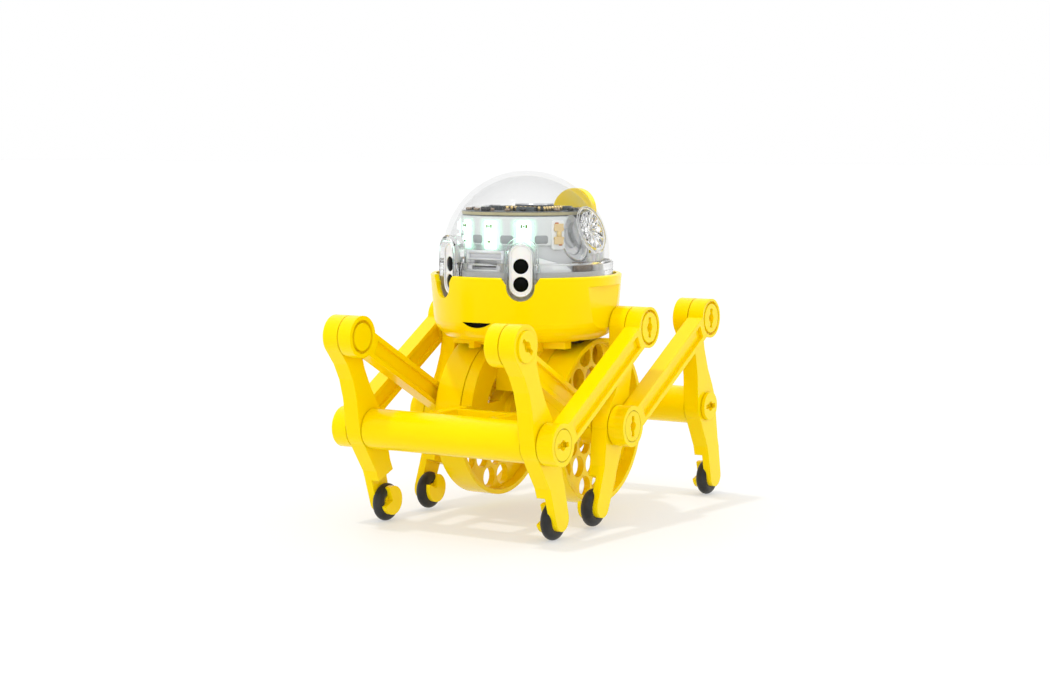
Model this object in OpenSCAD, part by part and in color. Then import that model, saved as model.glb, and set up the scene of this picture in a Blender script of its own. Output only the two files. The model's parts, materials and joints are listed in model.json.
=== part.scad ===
// Six-legged walking kit with a pocket robot docked in its cradle.
// Front is -Y, up is +Z, the rubber feet stand on Z = 0 and X = 0 is the plane of symmetry.

/* [Leg linkage] */
// Distance from the wheel axle to the front and to the rear crossbar
bar_offset = 31.1; // [30:0.1:33]
// Leg length above its middle pivot
leg_upper = 19; // [17:0.5:20]
// Leg length from its middle pivot down to the foot centre
leg_lower = 15.8; // [15:0.1:17]
// Throw of the crank rivet on the wheel
crank_throw = 5.9; // [5:0.1:6.2]
// Height of the crank rivet above straight ahead, in degrees
crank_lift = 4; // [0:1:8]
// Radius of the round bosses at the ends of the links and legs
boss_r = 3.85; // [3.6:0.05:4.1]
// Radius of the crossbars
bar_r = 3.75; // [3.4:0.05:3.9]

/* [Layers beside each wheel] */
// Inner face of the front links
inner_layer_x = 14.3; // [14.2:0.1:14.6]
// Thickness of the front links
inner_layer_t = 2.8; // [2.4:0.1:2.8]
// Thickness of the legs and of the two outer links
layer_t = 3.2; // [2.8:0.1:3.4]
// Gap between neighbouring layers
layer_gap = 0.2; // [0.15:0.05:0.3]

/* [Rivets] */
// Radius of the rivet shanks
shank_r = 1.6; // [1.4:0.1:1.8]
// Radius of the rivet heads
head_r = 2.85; // [2.6:0.05:3]
// Running clearance round a shank
running_gap = 0.06; // [0.04:0.01:0.1]
// Extra radius of the loose holes in the links at the leg tops
loose_gap = 0.5; // [0.45:0.05:0.6]

/* [Wheels] */
// Outer radius of the crank wheels
wheel_r = 15.9; // [15:0.1:16.2]
// Inner and outer faces of the crank wheels
wheel_x = [8.2, 13.8];
// Rim thickness
rim_t = 0.9; // [0.8:0.1:1.4]

/* [Feet] */
// Outer radius of the rubber rings
ring_r = 3.55; // [3.3:0.05:3.8]
// Radius of the rubber section
ring_section = 1.1; // [0.9:0.05:1.2]
// Distance of the rings from the plane of symmetry
ring_x = 18.45; // [18.4:0.05:18.5]

/* [Cradle] */
// Cradle centre, ahead of the axle
cradle_y = -5; // [-5.5:0.5:-4.5]
// Outer radius of the cradle wall
cradle_r = 18.2; // [18:0.1:18.6]
// Cradle wall thickness
cradle_wall = 1; // [0.8:0.1:1.1]
// How much narrower the cradle is at its corner than at its rim
cradle_draft = 0.6; // [0.3:0.1:0.7]
// Rim height above the axle
rim_rise = 28.2; // [28:0.1:29]
// Angle of each eye from straight ahead
eye_angle = 28.5; // [26:0.5:31]

/* [Robot] */
// Dome radius
dome_r = 15.9; // [15.5:0.1:16]
// Skirt radius
skirt_r = 16.6; // [16.4:0.1:16.8]
// Radius of the drive tyres
tyre_r = 3.6; // [3.4:0.1:3.8]
// Height of the dome centre above the axle
dome_rise = 31.65; // [31:0.05:32]
// Upward tilt of the power button's axis
button_tilt = 19; // [15:1:23]
// Radius of the power button
button_r = 4.6; // [4.2:0.05:4.8]

/* [Hidden] */
$fn = 48;
eps = 0.01;

// Layers along X on each side: front link, leg, outer link
layer_1 = inner_layer_x;
layer_1_end = layer_1 + inner_layer_t;
layer_2 = layer_1_end + layer_gap;
layer_2_end = layer_2 + layer_t;
layer_3 = layer_2_end + layer_gap;
layer_3_end = layer_3 + layer_t;

// Linkage in the plane of the legs, as [y, z] from the axle
link_span = sqrt(leg_upper * leg_upper + bar_offset * bar_offset);
front_bar = [-bar_offset, 0];
rear_bar = [bar_offset, 0];
crank = [-crank_throw * cos(crank_lift), crank_throw * sin(crank_lift)];

// Third corner of a triangle: distance a from p, b from q, on the left (+1) or right (-1) of p to q
function apex(p, q, a, b, side) =
    let (d = norm(q - p), e = (q - p) / d, along = (a * a - b * b + d * d) / (2 * d))
    p + e * along + [-e[1], e[0]] * side * sqrt(a * a - along * along);
// Lean of a leg, in degrees from upright, positive to the rear
function lean(pivot, top) = atan2(top[0] - pivot[0], top[1] - pivot[1]);

front_top = apex(front_bar, crank, leg_upper, link_span, 1);
middle_top = apex(crank, front_bar, leg_upper, link_span, -1);
rear_top = apex(rear_bar, crank, leg_upper, link_span, -1);
front_lean = lean(front_bar, front_top);
middle_lean = lean(crank, middle_top);
rear_lean = lean(rear_bar, rear_top);

// The origin is under the middle of the whole outline
rear_reach = rear_bar[0] - leg_lower * sin(rear_lean) + ring_r;
middle_shift = (boss_r - front_top[0] - rear_reach) / 2;

// The rear rings stand on the floor
axle_z = leg_lower * cos(rear_lean) + ring_r;
rim_z = axle_z + rim_rise;
cup_floor_z = rim_z - 11.2;
cup_bottom_z = cup_floor_z - 1.1;
plate_z = cup_bottom_z - 1.3;
dome_z = axle_z + dome_rise;
skirt_z = rim_z - 0.4;
skirt_h = 2.85;
eye_z = axle_z + 29.45;

// Bores and heads
bore_r = shank_r + running_gap;
loose_r = shank_r + loose_gap;
head_t = 0.7;
head_room = 0.12;
head_rise = 0.35;
crossbar_end = layer_2 - 0.15;
rear_head_x = layer_2_end + head_t + head_room;

// Wheel details
hub_r = 3.3;
axle_r = 1.5;
web_x = 10.2;
web_t = 1.3;
hub_end_x = 12.9;
cap_x = 12.95;
cap_end_x = 13.75;
cap_r = 2.35;
crank_boss_r = 3.1;
crank_boss_x = layer_1 - 0.2;
cell_pitch = 4.8;
cell_r = 2;

// Chassis side plates, whose round guards follow the wheels
plate_x = [5.6, 8.05];
arm_half = 3.2;
guard_r = 15.8;
window_r = 10.4;

// Flats on the cradle that clear the middle legs, and their wall made up inside
flat_x = layer_2 - 0.2;
flat_top_z = rim_z - 1.9;
flat_half = 7;
flat_inner_r = 16.1;

// Foot details
foot_hub_r = ring_r - 2 * ring_section + 0.02;
ring_path_r = ring_r - ring_section;
tab_x = layer_2_end - 1.5;
flange_t = 1.1;
flange_x = ring_x - 0.8 - flange_t;
flange_r = 2.75;
flange_lift = 0.5;

// Robot inside
tyre_x = 11;
tyre_w = 2.2;
tyre_reach = wheel_r + tyre_r + 0.04;
tyre_z = axle_z + sqrt(tyre_reach * tyre_reach - cradle_y * cradle_y);
base_z = cup_floor_z + 0.4;
base_t = 1.1;
stub_r = 0.5;
board_z = dome_z + 7.6;
band_r = 12.4;
led_angles = [-60, -30, 0, 30, 60];
led_z = dome_z + 4.3;
button_start = 11.7;

// ---- helpers ----

// Cylinder along X from x0 to x1 at [y, z] measured from the axle
module x_rod(r, x0, x1, at = [0, 0]) {
    translate([x0, at[0], axle_z + at[1]]) rotate([0, 90, 0]) cylinder(r = r, h = x1 - x0);
}

// A flat outline of [y, z] points, drawn from x0 to x1 about a point and leaning to the rear
module x_plate(x0, x1, at = [0, 0], tilt = 0) {
    translate([x0, at[0], axle_z + at[1]]) rotate([-tilt, 0, 0])
        rotate([90, 0, 90]) linear_extrude(x1 - x0) children();
}

// Right-hand piece, or its mirror image on the left
module side(s) {
    mirror([s < 0 ? 1 : 0, 0, 0]) children();
}

// Snap rivet along X: shank, slotted head at x1, and an optional inner head at x0
module rivet(x0, x1, at, turn = 0, inner = false) {
    difference() {
        union() {
            x_rod(shank_r, x0, x1, at);
            x_rod(head_r, x1 - head_t, x1, at);
            if (inner) x_rod(head_r - 0.3, x0, x0 + head_t - 0.2, at);
        }
        translate([x1 - 0.9, at[0], axle_z + at[1]]) rotate([turn, 0, 0]) cube_centred([2, 3.8, 0.9]);
        x_rod(0.95, x1 - 1, x1 + 1, at);
    }
}

// Cube standing on its inner X face, centred in Y and Z
module cube_centred(size) {
    translate([0, -size[1] / 2, -size[2] / 2]) cube(size);
}

// ---- linkage ----

// Leg outline in its own frame: pivot at the origin, top boss straight up
module leg_outline() {
    union() {
        circle(r = boss_r);
        translate([0, leg_upper]) circle(r = boss_r);
        polygon([
            [-boss_r, 0], [-3.25, 3.4], [-2.35, 7.2], [-2.05, 11], [-2.5, 14.4], [-3.5, 17.4],
            [3, 16.6], [2.1, 14.6], [1.95, 11.5], [2.35, 7.2], [3.3, 3.4], [boss_r, 0],
            [3.35, -3], [2.75, -8.2], [2.85, -10.2], [-1.95, -10.2], [-1.95, -8.2], [-3.1, -3.4]
        ]);
    }
}

// Outer tab that carries the foot, below the full-thickness part of the leg
module foot_outline() {
    tab_half = 2.2;
    end_z = 0.4 - leg_lower;
    union() {
        translate([0, end_z]) circle(r = tab_half);
        polygon([[-1.95, -9.8], [-tab_half, end_z], [tab_half, end_z], [2.8, -9.8]]);
    }
}

// Leg leaning from its pivot; recess is the depth of the rivet head in its outer face
module leg(pivot, tilt, recess = 0) {
    foot = pivot - leg_lower * [sin(tilt), cos(tilt)];
    top = pivot + leg_upper * [sin(tilt), cos(tilt)];
    flange = foot + flange_lift * [sin(tilt), cos(tilt)];
    color("#f8dc00") difference() {
        union() {
            x_plate(layer_2, layer_2_end, pivot, tilt) leg_outline();
            x_plate(tab_x, layer_2_end, pivot, tilt) foot_outline();
            x_rod(foot_hub_r, flange_x, layer_2_end - 0.4, foot);
            x_rod(flange_r, flange_x, flange_x + flange_t, flange);
        }
        x_rod(bore_r, layer_2 - 1, layer_2_end + 1, pivot);
        x_rod(shank_r, layer_2 - 1, layer_2_end + 1, top);
        if (recess > 0) x_rod(head_r, layer_2_end - recess, layer_2_end + 1, top);
        // Notch in the flange, through which the ring is pushed on
        x_plate(flange_x - 1, flange_x + flange_t, foot, tilt)
            translate([-3.4, 0.55]) square([3.1, 3]);
    }
}

module ring(pivot, tilt) {
    foot = pivot - leg_lower * [sin(tilt), cos(tilt)];
    color("#1c1c1e") translate([ring_x, foot[0], axle_z + foot[1]]) rotate([0, 90, 0])
        rotate_extrude() translate([ring_path_r, 0]) circle(r = ring_section, $fn = 24);
}

// Link from a to b between x0 and x1, with a groove down each face of its bar
module link(a, b, x0, x1) {
    tilt = atan2(b[0] - a[0], b[1] - a[1]);
    groove_end = boss_r + 0.9;
    link_w = 4.4;
    difference() {
        x_plate(x0, x1, a, tilt) union() {
            for (end = [0, link_span]) translate([0, end]) circle(r = boss_r);
            translate([-link_w / 2, 0]) square([link_w, link_span]);
        }
        for (x = [x0 - 1, x1 - 0.7]) {
            x_plate(x, x + 1.7, a, tilt)
                translate([-1.3, groove_end]) square([2.6, link_span - 2 * groove_end]);
        }
    }
}

// Hole with a counterbore for a rivet head in the outer face at x1
module headed_hole(r, head_clear, x0, x1, at) {
    x_rod(r, x0 - 1, x1 + 1, at);
    x_rod(head_r + head_clear, x1 - head_t - head_room, x1 + 1, at);
}

module front_link(s) {
    color("#f2d400") side(s) difference() {
        link(crank, front_top, layer_1, layer_1_end);
        x_rod(bore_r, layer_1 - 1, layer_1_end + 1, crank);
        x_rod(loose_r, layer_1 - 1, layer_1_end + 1, front_top);
        x_rod(head_r - 0.3 + loose_gap, layer_1 - 1, layer_1 + head_t, front_top);
    }
}

module middle_link(s) {
    color("#f7da00") side(s) difference() {
        link(front_bar, middle_top, layer_3, layer_3_end);
        headed_hole(bore_r, head_room, layer_3, layer_3_end, front_bar);
        headed_hole(loose_r, loose_gap, layer_3, layer_3_end, middle_top);
    }
}

module rear_link(s) {
    color("#f7da00") side(s) difference() {
        link(crank, rear_top, layer_3, layer_3_end);
        headed_hole(bore_r, head_room, layer_3, layer_3_end, crank);
        headed_hole(loose_r, loose_gap, layer_3, layer_3_end, rear_top);
    }
}

// Rivets pressed into both ends of a crossbar, with their heads ending at x1
module bar_rivets(at, x1) {
    color("#f2d400") for (s = [-1, 1]) side(s) rivet(crossbar_end - 5.5, x1, at);
}

module crank_rivet(s) {
    color("#f2d400") side(s) rivet(web_x - 0.4, layer_3_end, crank, 90);
}

// Rivet through the front link and the front leg; it is fast in the leg
module front_top_rivet(s) {
    color("#f2d400") side(s) rivet(layer_1, layer_2_end + head_rise, front_top, 140, true);
}

// Rivet through a leg and an outer link; it is fast in the leg
module outer_top_rivet(s, at) {
    color("#f2d400") side(s) rivet(layer_2, layer_3_end, at, 90);
}

// ---- wheels ----

// Honeycomb of round cells between the hub and the rim
module cell_grid() {
    for (row = [-3:3], col = [-3:3]) {
        p = [(col + (row % 2 == 0 ? 0 : 0.5)) * cell_pitch, row * cell_pitch * sin(60)];
        clear_of_hub = norm(p) > hub_r + cell_r - 0.6;
        clear_of_rim = norm(p) < wheel_r - rim_t - cell_r - 0.2;
        clear_of_crank = norm(p - crank) > crank_boss_r + cell_r - 0.4;
        if (clear_of_hub && clear_of_rim && clear_of_crank) translate(p) circle(r = cell_r);
    }
}

module drive_wheel(s) {
    color("#f5d800") side(s) difference() {
        union() {
            difference() {
                x_rod(wheel_r, wheel_x[0], wheel_x[1]);
                x_rod(wheel_r - rim_t, wheel_x[0] - 1, wheel_x[1] + 1);
            }
            difference() {
                x_rod(wheel_r - rim_t / 2, web_x, web_x + web_t);
                x_plate(web_x - 1, web_x + web_t + 1) cell_grid();
            }
            x_rod(hub_r, wheel_x[0], hub_end_x);
            x_rod(crank_boss_r, web_x, crank_boss_x, crank);
        }
        x_rod(axle_r + running_gap, wheel_x[0] - 1, wheel_x[1] + 1);
        x_rod(cap_r + 0.15, hub_end_x, wheel_x[1] + 1);
        x_rod(shank_r - 0.02, web_x - 1, crank_boss_x + 1, crank);
    }
}

// ---- chassis ----

// One side plate: low arms out to both crossbars, and a round guard beside the wheel
module side_plate_outline() {
    guard_top = plate_z - axle_z + 0.3;
    difference() {
        union() {
            translate([-bar_offset, -arm_half]) square([2 * bar_offset, 2 * arm_half]);
            intersection() {
                difference() {
                    circle(r = guard_r);
                    circle(r = window_r);
                }
                translate([-guard_r - 1, 0]) square([2 * guard_r + 2, guard_top]);
            }
            circle(r = 6.2);
        }
        for (m = [-1, 1]) scale_y(m) translate([-26, -1.6]) square([15.5, 3.2]);
    }
}

// Mirror an outline front to back when m is negative
module scale_y(m) {
    mirror([m < 0 ? 1 : 0, 0]) children();
}

module chassis_frame() {
    color("#f6da00") difference() {
        union() {
            for (s = [-1, 1]) side(s) {
                x_plate(plate_x[0], plate_x[1]) side_plate_outline();
                x_rod(4.4, plate_x[0] - 1.4, plate_x[1], [0, 0]);
            }
            // Cross walls between the side plates, and the pad under the cradle
            for (y = [-6.6, 5.2]) {
                translate([-plate_x[0] - 0.3, y, axle_z + 5.4])
                    cube([2 * plate_x[0] + 0.6, 1.4, plate_z - axle_z - 5.4]);
            }
            translate([-plate_x[1], -7.4, plate_z - 1.2]) cube([2 * plate_x[1], 14.8, 1.2]);
            for (y = [-20.4, 19]) {
                translate([-plate_x[1] + eps, y, axle_z - arm_half])
                    cube([2 * plate_x[1] - 2 * eps, 1.4, 2 * arm_half]);
            }
        }
        x_rod(axle_r, -10, 10);
        for (at = [front_bar, rear_bar]) x_rod(bar_r, -10, 10, at);
    }
}

module crossbar(at) {
    color("#f8dc00") difference() {
        x_rod(bar_r, -crossbar_end, crossbar_end, at);
        for (s = [-1, 1]) side(s) x_rod(shank_r, crossbar_end - 6, crossbar_end + 1, at);
    }
}

module wheel_axle() {
    color("#b9bcc0") x_rod(axle_r, -cap_end_x + 0.3, cap_end_x - 0.3);
}

module axle_caps() {
    color("#f2d400") for (s = [-1, 1]) side(s) difference() {
        x_rod(cap_r, cap_x, cap_end_x);
        x_rod(axle_r, cap_x - 1, cap_end_x - 0.3);
    }
}

// ---- cradle ----

// A quarter-round corner as points from the side wall to the underside
function corner(r, centre) = [for (a = [0:10:90]) centre + r * [cos(a), -sin(a)]];

module cup_profile() {
    low_r = cradle_r - cradle_draft;
    outer_corner = corner(4.4, [low_r - 4.4, cup_bottom_z + 4.4]);
    inner_corner = corner(3.4, [low_r - cradle_wall - 3.4, cup_floor_z + 3.4]);
    polygon(concat(
        [[0, cup_bottom_z], [0, cup_floor_z]],
        [for (i = [len(inner_corner) - 1:-1:0]) inner_corner[i]],
        [[cradle_r - cradle_wall, rim_z], [cradle_r - 0.25, rim_z], [cradle_r, rim_z - 0.25]],
        outer_corner
    ));
}

// U-shaped notch in the rim for one eye, with flared shoulders
module eye_notch(angle) {
    half = 2.6;
    depth = 3.9;
    translate([0, cradle_y, rim_z]) rotate([0, 0, angle]) rotate([90, 0, 0])
        linear_extrude(cradle_r + 2) union() {
            translate([0, half - depth - 0.4]) circle(r = half);
            translate([-half, half - depth - 0.4]) square([2 * half, depth + 3]);
            polygon([[-half - 1.2, 1], [-half - 0.9, -0.1], [-half - 0.15, -1.2], [0, -1.4],
                [half + 0.15, -1.2], [half + 0.9, -0.1], [half + 1.2, 1]]);
        }
}

// The smile, cut or filled from the front: a flat top over a round lower lip
module smile(y0, y1) {
    lip_r = 5.6;
    lip_rise = 4.65;
    translate([0, y1, axle_z + 19.8]) rotate([90, 0, 0]) linear_extrude(y1 - y0)
        difference() {
            translate([0, lip_rise]) circle(r = lip_r);
            translate([-lip_r - 1, 0]) square([2 * lip_r + 2, 2 * lip_r + 2]);
        }
}

// Wall made up inside the cradle, behind the flat on one side
module flat_backing(m) {
    low_z = cup_floor_z - 0.3;
    intersection() {
        translate([0, cradle_y, low_z]) difference() {
            cylinder(r = cradle_r - cradle_draft - 0.3, h = flat_top_z - low_z, $fn = 96);
            translate([0, 0, -1]) cylinder(r = flat_inner_r, h = 40, $fn = 96);
        }
        translate([m * 16.5 - 2.5, cradle_y - flat_half, low_z + 3]) cube([5, 2 * flat_half, 40]);
    }
}

module cradle_cup() {
    wall_y = cradle_y - cradle_r;
    color("#f8dc00") difference() {
        union() {
            translate([0, cradle_y, 0]) rotate_extrude($fn = 96) cup_profile();
            translate([-12.5, -11.4, plate_z]) cube([25, 18.4, cup_bottom_z - plate_z + 0.3]);
            // Short ribs ahead of the step
            for (x = [-7, 7]) translate([x - 0.6, -13.4, plate_z - 0.6])
                cube([1.2, 2.4, cup_bottom_z - plate_z + 0.9]);
            for (m = [-1, 1]) flat_backing(m);
        }
        for (m = [-1, 1]) eye_notch(m * eye_angle);
        for (m = [-1, 1]) {
            // Openings over the wheels
            translate([m * 11 - 3.3, -9.2, plate_z - 1]) cube([6.6, 17.4, 6]);
            translate([m * 11 - 3.3, -9.2, cup_floor_z - 3]) cube([6.6, 17.4, 5]);
        }
        for (m = [-1, 1]) translate([m * (flat_x + 2.5) - 2.5, cradle_y - flat_half - 1, plate_z])
            cube([5, 2 * flat_half + 2, flat_top_z - plate_z]);
        // Round charging window in the middle of the floor
        translate([0, cradle_y - 3, plate_z - 1]) cylinder(r = 3, h = 8);
        smile(wall_y - 1, wall_y + cradle_wall + 1);
    }
}

module mouth_inlay() {
    wall_y = cradle_y - cradle_r;
    face_r = cradle_r - cradle_draft - 0.15;
    color("#141414") intersection() {
        smile(wall_y - 1, wall_y + cradle_wall + 1);
        translate([0, cradle_y, 0]) difference() {
            cylinder(r = face_r, h = 80, $fn = 96);
            translate([0, 0, -1]) cylinder(r = face_r - 0.75, h = 90, $fn = 96);
        }
    }
}

// Round-topped tab behind the robot, curved to the cradle wall
module tail_tab() {
    half = 4.4;
    centre_z = axle_z + 39.5;
    color("#f8dc00") intersection() {
        translate([0, cradle_y + cradle_r + 4, 0]) rotate([90, 0, 0]) linear_extrude(12)
            union() {
                translate([0, centre_z]) circle(r = half);
                translate([-half, rim_z - 7]) square([2 * half, centre_z - rim_z + 7]);
            }
        translate([0, cradle_y, 0]) difference() {
            cylinder(r = cradle_r + 1.4, h = 80, $fn = 96);
            translate([0, 0, -1]) cylinder(r = cradle_r - 0.5, h = 90, $fn = 96);
        }
    }
}

// ---- robot ----

module robot_base() {
    slot = [3.4, 8.6];
    block_x = [7.2, 9.2];
    color("#e9eaec") difference() {
        union() {
            translate([0, cradle_y, 0]) rotate_extrude($fn = 96) polygon([
                [0, base_z], [13.4, base_z], [15.6, base_z + 2.6], [15.6, skirt_z], [14.4, skirt_z],
                [14.4, base_z + 3], [13, base_z + base_t], [0, base_z + base_t]
            ]);
            // Bearing blocks of the drive wheels
            for (s = [-1, 1]) side(s) translate([block_x[0], cradle_y - 1.5, base_z + 0.5])
                cube([block_x[1] - block_x[0], 3, tyre_z - base_z + 0.7]);
        }
        for (s = [-1, 1]) side(s) {
            translate([tyre_x - slot[0] / 2, cradle_y - slot[1] / 2, base_z - 1])
                cube([slot[0], slot[1], 6]);
            translate([0, cradle_y, tyre_z - axle_z]) x_rod(stub_r + 0.05, 7, 10);
        }
    }
}

module robot_skirt() {
    color([0.9, 0.95, 1, 0.35]) difference() {
        translate([0, cradle_y, 0]) rotate_extrude($fn = 96) polygon([
            [15.1, skirt_z], [skirt_r, skirt_z], [skirt_r, skirt_z + skirt_h - 0.35],
            [skirt_r - 0.4, skirt_z + skirt_h], [14.9, skirt_z + skirt_h], [14.9, skirt_z + skirt_h - 0.6]
        ]);
        for (m = [-1, 1]) eye_seat(m * eye_angle, 0.15);
    }
}

// Upright rounded slot that an eye bezel fills, grown by a gap
module eye_seat(angle, gap) {
    half = 2.2 + gap;
    rise = 2.7;
    translate([0, cradle_y, eye_z]) rotate([0, 0, angle]) rotate([90, 0, 0])
        linear_extrude(cradle_r + 3) union() {
            for (z = [-rise, rise]) translate([0, z]) circle(r = half);
            translate([-half, -rise]) square([2 * half, 2 * rise]);
        }
}

module robot_dome() {
    foot = skirt_z + skirt_h - dome_z;
    color([0.92, 0.96, 1, 0.25]) difference() {
        translate([0, cradle_y, dome_z]) difference() {
            sphere(r = dome_r);
            sphere(r = dome_r - 1);
            translate([-20, -20, foot - 40]) cube(40);
        }
        button_bore(0.3);
        for (m = [-1, 1]) eye_seat(m * eye_angle, 0.15);
    }
}

// Frame of the power button, whose axis runs up and outward from the dome centre
module button_frame() {
    translate([0, cradle_y, dome_z]) rotate([0, 90 - button_tilt, 0]) children();
}

// Room for the power button, wider than it by a gap
module button_bore(gap) {
    button_frame() translate([0, 0, button_start - 1.5]) cylinder(r = button_r + gap, h = 12);
}

module eye_bezels() {
    color("#f4f4f2") intersection() {
        for (m = [-1, 1]) difference() {
            eye_seat(m * eye_angle, 0);
            eye_lens_bores(m * eye_angle, 1.4);
        }
        translate([0, cradle_y, 0]) difference() {
            cylinder(r = 16.4, h = 80, $fn = 96);
            translate([0, 0, -1]) cylinder(r = 15.65, h = 90, $fn = 96);
        }
    }
}

module eye_lens_bores(angle, r) {
    for (z = [-2.5, 0.8]) translate([0, cradle_y, eye_z + z]) rotate([0, 0, angle])
        rotate([90, 0, 0]) cylinder(r = r, h = cradle_r + 3);
}

module eye_lenses() {
    color("#0c0c0e") intersection() {
        for (m = [-1, 1]) eye_lens_bores(m * eye_angle, 1.38);
        translate([0, cradle_y, 0]) difference() {
            cylinder(r = 16.25, h = 80, $fn = 96);
            translate([0, 0, -1]) cylinder(r = 15.75, h = 90, $fn = 96);
        }
    }
}

// Grey inner deck with a raised drum that carries the boards
module robot_deck() {
    drum_r = band_r - 0.5;
    color("#d5d7da") difference() {
        translate([0, cradle_y, 0]) union() {
            translate([0, 0, skirt_z]) cylinder(r = 15, h = 1.2, $fn = 96);
            translate([0, 0, skirt_z + 1.1]) cylinder(r = drum_r, h = board_z - skirt_z - 1.1, $fn = 96);
        }
        translate([0, cradle_y, skirt_z + 2.4]) cylinder(r = drum_r - 1.2, h = 30);
        button_bore(0.5);
    }
}

module top_board() {
    chips = [
        [-6.5, -3, 3.2, 3.2], [1.5, -6, 4, 4], [4.4, 2.2, 3, 2.4], [-4, 4, 5, 2], [-9, 1.2, 1.8, 1]
    ];
    color("#3a3f44") difference() {
        translate([0, cradle_y, 0]) union() {
            translate([0, 0, board_z]) cylinder(r = 12.15, h = 0.8);
            for (c = chips) translate([c[0], c[1], board_z + 0.7]) cube([c[2], c[3], 0.9]);
        }
        button_bore(0.5);
    }
}

// Upright flexible board round the front of the deck
module led_band() {
    color("#dfe3e2") difference() {
        translate([0, cradle_y, dome_z + 2.2]) intersection() {
            difference() {
                cylinder(r = band_r, h = board_z - dome_z - 2.3, $fn = 96);
                translate([0, 0, -1]) cylinder(r = band_r - 0.5, h = 30, $fn = 96);
            }
            translate([-20, -20, 0]) cube([40, 19, 30]);
        }
        button_bore(0.5);
    }
}

module led_lights() {
    color("#d8ffe6") for (a = led_angles, z = [-1.2, 1.2]) translate([0, cradle_y, led_z + z])
        rotate([0, 0, a]) translate([-0.9, -band_r - 0.6, -0.7]) cube([1.8, 0.7, 1.4]);
}

module main_board() {
    color("#2f6b46") translate([0, cradle_y, skirt_z - 2.2]) difference() {
        cylinder(r = 14.2, h = 0.8);
        for (m = [-1, 1]) translate([m * tyre_x - 2.2, -5, -1]) cube([4.4, 10, 3]);
    }
}

module battery_cell() {
    color("#b8bcc2") translate([-7, cradle_y - 11, base_z + base_t]) cube([14, 8, 5]);
}

// Motors whose shafts roll on the drive tyres
module drive_motors() {
    motor_r = 2.1;
    shaft_z = tyre_z + tyre_r + 0.5;
    color("#9da1a6") for (s = [-1, 1]) side(s) translate([0, cradle_y, shaft_z - axle_z]) union() {
        x_rod(motor_r, 0.8, 8.8);
        x_rod(0.4, 8, 12);
    }
}

module usb_socket() {
    socket = [7.4, 2, 3.9];
    slot_w = 5;
    color("#a9adb2") translate([-socket[0] / 2, cradle_y - 14.1, skirt_z + 1.2]) difference() {
        cube(socket);
        translate([(socket[0] - slot_w) / 2, -1, 0.4]) cube([slot_w, 2.5, 1.7]);
    }
}

module power_button() {
    color([0.95, 0.97, 1, 0.5]) button_frame() translate([0, 0, button_start])
        rotate_extrude() polygon([
            [0, 0], [2.6, 0], [2.6, 1], [button_r, 1], [button_r, 2.9], [button_r - 0.6, 3.6],
            [1.6, 3.8], [1.6, 3.3], [0, 3.3]
        ]);
}

module robot_hub(s) {
    color("#2a2a2c") side(s) translate([0, cradle_y, tyre_z]) rotate([0, 90, 0]) union() {
        translate([0, 0, tyre_x - tyre_w / 2]) cylinder(r = tyre_r - 1, h = tyre_w);
        translate([0, 0, 7.4]) cylinder(r = stub_r, h = 3);
    }
}

module robot_tyre(s) {
    color("#1c1c1e") side(s) translate([tyre_x - tyre_w / 2, cradle_y, tyre_z]) rotate([0, 90, 0])
        difference() {
            cylinder(r = tyre_r, h = tyre_w);
            translate([0, 0, -1]) cylinder(r = tyre_r - 1, h = tyre_w + 2);
        }
}

// Puts the axle-centred model over its origin
module placed() {
    translate([0, middle_shift, 0]) children();
}

// ---- nodes ----

placed() chassis_frame();
placed() crossbar(front_bar);  // front_crossbar
placed() crossbar(rear_bar);  // rear_crossbar
placed() cradle_cup();
placed() mouth_inlay();
placed() tail_tab();
placed() wheel_axle();
placed() axle_caps();
placed() bar_rivets(front_bar, layer_3_end);  // front_bar_rivets
placed() bar_rivets(rear_bar, rear_head_x);  // rear_bar_rivets
placed() drive_wheel(-1);  // drive_wheel_left
placed() drive_wheel(1);  // drive_wheel_right
placed() crank_rivet(-1);  // crank_rivet_left
placed() crank_rivet(1);  // crank_rivet_right
placed() side(-1) leg(front_bar, front_lean, head_rise);  // front_leg_left
placed() side(1) leg(front_bar, front_lean, head_rise);  // front_leg_right
placed() side(-1) leg(crank, middle_lean);  // middle_leg_left
placed() side(1) leg(crank, middle_lean);  // middle_leg_right
placed() side(-1) leg(rear_bar, rear_lean);  // rear_leg_left
placed() side(1) leg(rear_bar, rear_lean);  // rear_leg_right
placed() side(-1) ring(front_bar, front_lean);  // front_ring_left
placed() side(1) ring(front_bar, front_lean);  // front_ring_right
placed() side(-1) ring(crank, middle_lean);  // middle_ring_left
placed() side(1) ring(crank, middle_lean);  // middle_ring_right
placed() side(-1) ring(rear_bar, rear_lean);  // rear_ring_left
placed() side(1) ring(rear_bar, rear_lean);  // rear_ring_right
placed() front_link(-1);  // front_link_left
placed() front_link(1);  // front_link_right
placed() middle_link(-1);  // middle_link_left
placed() middle_link(1);  // middle_link_right
placed() rear_link(-1);  // rear_link_left
placed() rear_link(1);  // rear_link_right
placed() front_top_rivet(-1);  // front_top_rivet_left
placed() front_top_rivet(1);  // front_top_rivet_right
placed() outer_top_rivet(-1, middle_top);  // middle_top_rivet_left
placed() outer_top_rivet(1, middle_top);  // middle_top_rivet_right
placed() outer_top_rivet(-1, rear_top);  // rear_top_rivet_left
placed() outer_top_rivet(1, rear_top);  // rear_top_rivet_right
placed() robot_base();
placed() robot_skirt();
placed() robot_dome();
placed() robot_deck();
placed() eye_bezels();
placed() eye_lenses();
placed() top_board();
placed() led_band();
placed() led_lights();
placed() main_board();
placed() battery_cell();
placed() drive_motors();
placed() usb_socket();
placed() power_button();
placed() robot_hub(-1);  // robot_hub_left
placed() robot_hub(1);  // robot_hub_right
placed() robot_tyre(-1);  // robot_tyre_left
placed() robot_tyre(1);  // robot_tyre_right
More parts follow.
